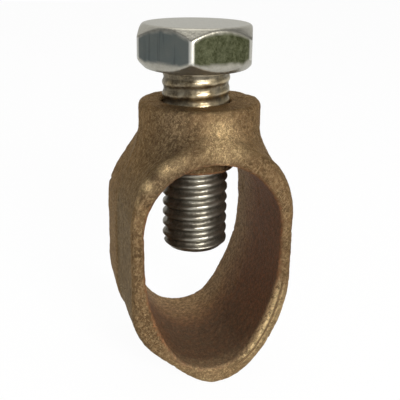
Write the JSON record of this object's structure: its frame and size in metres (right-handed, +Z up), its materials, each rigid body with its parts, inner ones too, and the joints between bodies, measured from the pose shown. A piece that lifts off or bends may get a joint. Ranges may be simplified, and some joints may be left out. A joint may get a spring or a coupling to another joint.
{
  "type": "earth rod clamp",
  "caption": "Cast bronze egg-shaped ring that drops over a half-inch earth rod, with a hexagon-head set screw through a boss on its crown.",
  "frame": {"origin": "axis of the rod's seat, half way through the ring's depth", "axes": "+Y along the rod through the ring, +Z up along the set screw towards its head"},
  "size_m": [0.0222, 0.0226, 0.0494],
  "materials": {
    "bronze_casting": "dulled sand-cast bronze, brown",
    "plated_screw": "worn zinc plate"
  },
  "bodies": {
    "clamp_body": {"clamp_body": "bronze_casting"},
    "clamp_screw": {"clamp_screw": "plated_screw"}
  },
  "joints": [
    {"name": "screw_travel", "type": "slide", "parent": "clamp_body", "child": "clamp_screw", "axis": [0, 0, 1], "range_m": [-0.0044, 0.0154]}
  ]
}
